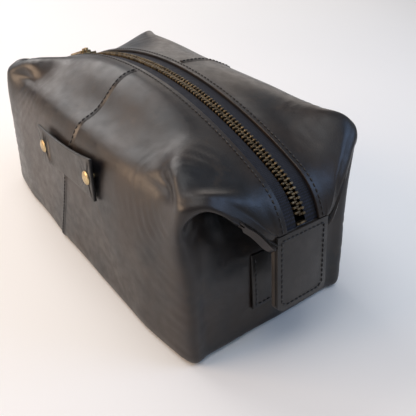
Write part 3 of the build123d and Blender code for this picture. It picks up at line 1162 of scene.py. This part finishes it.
@dataclass
class Seams:
    """The lapped seam round the middle, and the topstitching beside the mouth."""

    skins: Skins
    stitcher: Stitcher
    across: tuple[float, ...] = (-0.5, 0.0, 0.35, 1.2, 2.4, 3.8, 5.6)
    lift: tuple[float, ...] = (-0.5, 0.35, 0.75, 0.8, 0.6, 0.3, -0.4)
    stitch_at: float = 1.9
    top_x: float = -3.5
    foot_x: float = -28.0
    slant_from: float = 91.0
    slant_height: float = 90.0
    slant_bend: float = 1.15
    strip: float = 0.5
    thread_lift: float = 0.62
    thread_foot: float = 3.0
    columns: int = 40

    def build(self, wardrobe: Wardrobe) -> None:
        """Build the seam strips and their stitches.

        Args:
            wardrobe: Maker of the finishes.
        """
        for edge in Edge:
            self.mouth_stitches(edge, wardrobe)
            self.middle_seam(edge, wardrobe)
        LOG.info("seams and topstitching")

    def mouth_stitches(self, edge: Edge, wardrobe: Wardrobe) -> None:
        """Sew the row beside one mouth edge, one piece for each half."""
        for half in Half:
            crown = self.skins.grids[f"crown_{edge.label}_{half.label}"]
            out = upward_normals(crown)
            line, up = (crown[1] * 0.4 + crown[2] * 0.6), out[2]
            piece = self.stitcher.sew(f"mouth_stitches_{edge.label}_{half.label}", [(line, up)])
            wardrobe.dress(piece, "thread")
            bend_with_mouth(piece)

    def middle_seam(self, edge: Edge, wardrobe: Wardrobe) -> None:
        """Lay the lapped seam and its row of stitches over one side of the bag.

        Args:
            edge: Side of the mouth.
            wardrobe: Maker of the finishes.
        """
        for part, body in (("crown", f"{edge.label}_flap"), ("wall", "root")):
            rows = self.long_rows(part, edge)
            straight = part == "crown" or edge is Edge.BACK
            places = []
            for row in rows:
                fallen = float(np.clip((self.slant_from - row[len(row) // 2, 2]) / self.slant_height, 0, 1))
                slide = 0.0 if straight else fallen**self.slant_bend
                start = self.top_x + (self.foot_x - self.top_x) * slide
                at = start + np.array([*self.across, self.stitch_at])
                places.append(np.column_stack([at, *(np.interp(at, row[:, 0], row[:, c]) for c in (1, 2))]))
            grid = np.array(places)
            up = surface_normals(grid[:, :-1])
            if np.sum(up * (grid[:, :-1] - (0, 0, 60))) < 0:
                up = -up
            strip = grid[:, :-1] + up * np.array(self.lift)[None, :, None]
            strip[..., 2] = np.maximum(strip[..., 2], 0.05)
            piece = sheet(f"middle_seam_{part}_{edge.label}", strip)
            recalculate_open(piece, np.array([0, 0, 60.0]))
            thicken(piece, self.strip)
            keep_above(piece, 0.0)
            smooth(piece, 35)
            line = grid[:, -1] + up[:, 3] * self.thread_lift
            keep = line[:, 2] > self.thread_foot
            thread = self.stitcher.sew(f"middle_stitches_{part}_{edge.label}", [(line[keep], up[keep, 3])])
            for made, finish in ((piece, "body"), (thread, "thread")):
                wardrobe.dress(made, finish)
                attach(made, body)
            LOG.info("middle seam %s %s", part, edge.label)

    def long_rows(self, part: str, edge: Edge) -> list[Array]:
        """Return rows of surface points along x for one side, from the mouth or crease outwards."""
        if part == "crown":
            grids = [self.skins.grids[f"crown_{edge.label}_{half.label}"][3:, : self.columns] for half in Half]
        else:
            from_back = slice(None, -self.columns - 1, -1)
            order = slice(0, self.columns) if edge is Edge.FRONT else from_back
            grids = [self.skins.grids[f"wrap_{half.label}"][:-10, order] for half in Half]
        left, right = grids
        return [np.concatenate([a[:0:-1], b]) for a, b in zip(left, right)]


@dataclass
class Zipper:
    """Tapes, teeth, stops, slider and pull."""

    bevel: float = 0.28

    def build(self, wardrobe: Wardrobe) -> None:
        """Build the chain in halves, and the slider.

        Args:
            wardrobe: Maker of the finishes.
        """
        for edge in Edge:
            for half in Half:
                self.chain(edge, half, wardrobe)
        for node in ("zipper_top_stops", "zipper_bottom_stop"):
            wardrobe.dress(self.metal(node, "root"), "teeth")
        for node, body in (("slider_body", "slider"), ("slider_bail", "slider"), ("slider_pull", "pull")):
            wardrobe.dress(self.metal(node, body), "slider")
        LOG.info("zipper")

    def chain(self, edge: Edge, half: Half, wardrobe: Wardrobe) -> None:
        """Build one half of one side's tape and teeth.

        Args:
            edge: Side of the mouth.
            half: Half of the bag.
            wardrobe: Maker of the finishes.
        """
        for kind, finish, slot in (("tape", "tape", "zipper_tape"), ("teeth", "teeth", "zipper_metal")):
            node = f"zipper_{kind}_{edge.label}"
            piece = cad_copy(node, f"{node}_{half.label}")
            keep_half(piece, half)
            recalculate(piece)
            if kind == "teeth":
                round_edges(piece, self.bevel, 50, 2)
            smooth(piece, 35)
            wardrobe.dress(piece, finish)
            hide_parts(node)
            bend_with_mouth(piece)

    def metal(self, node: str, body: str) -> bpy.types.Object:
        """Copy a metal CAD piece with rounded edges.

        Args:
            node: The CAD node.
            body: The body it rides on.

        Returns:
            The piece.
        """
        piece = cad_copy(node, f"{node}_piece")
        round_edges(piece, self.bevel, 40, 2)
        smooth(piece, 40)
        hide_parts(node)
        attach(piece, body)
        return piece


@dataclass
class Tabs:
    """End tabs, end patches and their stitches."""

    stitcher: Stitcher
    lean: float = 10.7
    width: float = 39.4
    length: float = 48.5
    gap: float = 0.8
    stitch_in: float = 3.2
    patch_lean: float = 11.0

    def build(self, wardrobe: Wardrobe) -> None:
        """Build both ends' trim.

        Args:
            wardrobe: Maker of the finishes.
        """
        for half in Half:
            self.tab(half, wardrobe)
            self.patch(half, wardrobe)
        LOG.info("tabs and patches")

    def tab(self, half: Half, wardrobe: Wardrobe) -> None:
        """Build one tab's two layers and its stitches."""
        body = f"{half.label}_tab"
        for layer, finish in (("outer", "trim"), ("inner", "raw")):
            node = f"end_tab_{layer}_{half.label}"
            piece = cad_copy(node, f"tab_{layer}_{half.label}")
            round_edges(piece, 0.7 if layer == "outer" else 0.4, 40, 3)
            smooth(piece, 40)
            wardrobe.dress(piece, finish)
            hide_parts(node)
            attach(piece, body)
        joint = next(j for j in frame["joints"] if j["name"] == f"{half.label}_tab_lift")
        origin = np.array(joint["pos_m"]) / MM
        lean = math.radians(self.lean)
        down = np.array([half.value * math.sin(lean), 0, -math.cos(lean)])
        out = np.array([half.value * math.cos(lean), 0, math.sin(lean)])
        side, low, corner = self.width / 2 - self.stitch_in, self.length - self.stitch_in, 3.0
        high = self.gap + 3
        path = [(-side, high), (-side, low - corner), (-side + corner, low)]
        path += [(-y, s) for y, s in reversed(path)] + [(-side, high)]
        line = refine(np.array([origin + np.array([0, y, 0]) + down * s + out * 0.02 for y, s in path]))
        self.thread(f"tab_stitches_{half.label}", line, out, body, wardrobe)

    def patch(self, half: Half, wardrobe: Wardrobe) -> None:
        """Build one end patch and its stitches."""
        node = f"end_patch_{half.label}"
        piece = cad_copy(node, f"foot_patch_{half.label}")
        round_edges(piece, 0.6, 40, 3)
        smooth(piece, 40)
        wardrobe.dress(piece, "trim")
        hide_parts(node)
        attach(piece, "root")
        low, high = (np.array(corner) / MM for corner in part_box(node))
        lean = math.radians(self.patch_lean)
        outer_x = high[0] if half is Half.RIGHT else low[0]
        up = np.array([-half.value * math.sin(lean), 0, math.cos(lean)])
        out = np.array([half.value * math.cos(lean), 0, math.sin(lean)])
        foot = np.array([outer_x, 0, low[2] + 0.25])
        tall = (high[2] - low[2]) / math.cos(lean)
        side, bottom, top = high[1] - 2.6, 2.6, tall - 3
        path = [(-side, top), (-side, bottom), (side, bottom), (side, top)]
        line = refine(np.array([foot + np.array([0, y, 0]) + up * s + out * 0.02 for y, s in path]))
        self.thread(f"patch_stitches_{half.label}", line, out, "root", wardrobe)

    def thread(self, name: str, line: Array, out: Array, body: str, wardrobe: Wardrobe) -> None:
        """Sew one line of stitches on a flat piece."""
        piece = self.stitcher.sew(name, [(line, np.tile(out, (len(line), 1)))])
        wardrobe.dress(piece, "thread")
        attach(piece, body)


def refine(line: Array, step: float = 1.0) -> Array:
    """Return a polyline with points no further apart than a step in millimetres."""
    places = [line[0]]
    for a, b in zip(line, line[1:]):
        number = max(1, int(np.linalg.norm(b - a) / step))
        places += [a + (b - a) * (k + 1) / number for k in range(number)]
    return np.array(places)


@dataclass
class Label:
    """The waisted label and its two rivets."""

    tilt: float = 6.0

    def build(self, wardrobe: Wardrobe) -> None:
        """Build the label, and domed heads over the CAD posts.

        Args:
            wardrobe: Maker of the finishes.
        """
        piece = cad_copy("label", "label_leather")
        round_edges(piece, 0.6, 40, 3)
        smooth(piece, 40)
        wardrobe.dress(piece, "trim")
        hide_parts("label")
        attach(piece, "root")
        self.heads(wardrobe)
        for node in ("label_rivet_posts", "label_rivet_washers"):
            wardrobe.dress(frame["nodes"][node], "rivet")
        LOG.info("label")

    def heads(self, wardrobe: Wardrobe) -> None:
        """Build both domed rivet heads as one piece for each."""
        low, high = (np.array(corner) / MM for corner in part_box("label_rivet_caps"))
        slope = math.tan(math.radians(self.tilt))
        radius = (high[2] - low[2] - (high[0] - low[0]) * slope) / (2 * (1 - slope))
        ends = (("left", low[0] + radius, low[2] + radius), ("right", high[0] - radius, high[2] - radius))
        for name, x, z in ends:
            unselect()
            bpy.ops.mesh.primitive_uv_sphere_add(segments=40, ring_count=24, radius=1.0)
            head = bpy.context.object
            head.name = head.data.name = f"rivet_head_{name}"
            places = points_of(head)
            radial = np.hypot(places[:, 0], places[:, 1])
            shaped = np.empty_like(places)
            lift = np.clip(places[:, 2], 0, 1)
            brim = np.clip((radial - 0.72) / 0.28, 0, 1)
            shaped[:, 0] = x + places[:, 0] * radius
            shaped[:, 2] = z + places[:, 1] * radius
            shaped[:, 1] = high[1] - (0.25 + (high[1] - low[1] - 0.25) * lift**0.8 * (1 - 0.25 * brim))
            shaped[places[:, 2] < -0.01, 1] = high[1]
            place_points(head, shaped * MM)
            recalculate(head)
            smooth(head, 50)
            wardrobe.dress(head, "rivet")
            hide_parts("label_rivet_caps")
            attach(head, "root")


# ---------------------------------------------------------------- studio


@dataclass(frozen=True)
class Viewpoint:
    """Camera with a given direction, roll and focal length."""

    azimuth: float = 50.14
    elevation: float = 33.54
    roll: float = 3.75
    focal: float = 495.06
    place: tuple[float, float, float] = (274.32, -179.85, 233.67)
    frame_width: float = 416.0
    sensor: float = 36.0

    def build(self) -> bpy.types.Object:
        """Return the camera, set as the scene's."""
        a, e, r = (math.radians(v) for v in (self.azimuth, self.elevation, self.roll))
        back = Vector((math.sin(a) * math.cos(e), -math.cos(a) * math.cos(e), math.sin(e)))
        right = Vector((math.cos(a), math.sin(a), 0))
        up = back.cross(right)
        right, up = right * math.cos(r) + up * math.sin(r), up * math.cos(r) - right * math.sin(r)
        camera = bpy.data.objects.new("camera", bpy.data.cameras.new("camera"))
        camera.data.sensor_width = self.sensor
        camera.data.lens = self.focal / self.frame_width * self.sensor
        camera.data.clip_start = 0.01
        turn = Matrix((right, up, back)).transposed().to_4x4()
        camera.matrix_world = Matrix.Translation(Vector(self.place) * MM) @ turn
        bpy.context.scene.collection.objects.link(camera)
        bpy.context.scene.camera = camera
        return camera


@dataclass(frozen=True)
class Lamp:
    """A soft square lamp that faces the bag."""

    name: str
    place: tuple[float, float, float]
    size: float
    power: float
    colour: Colour

    def build(self) -> None:
        """Hang the lamp."""
        data = bpy.data.lights.new(self.name, "AREA")
        data.shape = "SQUARE"
        data.size = self.size
        data.energy = self.power
        data.color = self.colour
        lamp = bpy.data.objects.new(self.name, data)
        lamp.location = self.place
        lamp.rotation_euler = (Vector((0, 0, 0.06)) - Vector(self.place)).to_track_quat("-Z", "Y").to_euler()
        bpy.context.scene.collection.objects.link(lamp)


@dataclass(frozen=True)
class Studio:
    """Floor, sky and lamps."""

    sky: Colour = (0.85, 0.92, 1.0)
    sky_strength: float = 0.3
    lamps: tuple[Lamp, ...] = (
        Lamp("window_left", (-1.25, -0.15, 1.0), 1.1, 11.0, (1.0, 0.95, 0.92)),
        Lamp("window_behind", (-0.95, 0.95, 0.6), 0.9, 2.5, (1.0, 0.88, 0.78)),
        Lamp("cool_right", (0.7, 0.8, 0.9), 0.6, 3.0, (0.4, 0.6, 1.0)),
        Lamp("warm_front", (-0.45, -0.95, 0.5), 0.7, 10.0, (1.0, 0.72, 0.5)),
        Lamp("top_soft", (0.1, -0.2, 1.3), 1.0, 5.0, (1.0, 1.0, 1.0)),
    )

    def build(self, wardrobe: Wardrobe) -> None:
        """Lay the floor and light it.

        Args:
            wardrobe: Maker of the finishes.
        """
        unselect()
        bpy.ops.mesh.primitive_plane_add(size=8, location=(0, 0, 0))
        floor = bpy.context.object
        floor.name = floor.data.name = "floor"
        wardrobe.dress(floor, "floor")
        floor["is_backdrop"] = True
        world = bpy.data.worlds.new("studio")
        bpy.context.scene.world = world
        world.use_nodes = True
        background = world.node_tree.nodes["Background"]
        background.inputs["Color"].default_value = (*self.sky, 1.0)
        background.inputs["Strength"].default_value = self.sky_strength
        for lamp in self.lamps:
            lamp.build()
        bpy.context.scene.view_settings.view_transform = "Standard"


def main() -> None:
    """Build the studio and every piece of the bag."""
    logging.basicConfig(level=logging.INFO, format="%(message)s")
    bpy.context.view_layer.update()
    wardrobe = Wardrobe(Finishes())
    Viewpoint().build()
    Studio().build(wardrobe)
    form = BagForm()
    ears = [
        (x, edge.value * EAR_Y, form.creases[edge] - EAR_DROP, force)
        for x in (-EAR_X, EAR_X)
        for edge, force in ((Edge.FRONT, 1.0), (Edge.BACK, 0.8))
    ]
    skins = Skins(form, Creasing(ears))
    skins.build(wardrobe)
    stitcher = Stitcher()
    Seams(skins, stitcher).build(wardrobe)
    Zipper().build(wardrobe)
    Tabs(stitcher).build(wardrobe)
    Label().build(wardrobe)


if __name__ == "__main__":
    main()
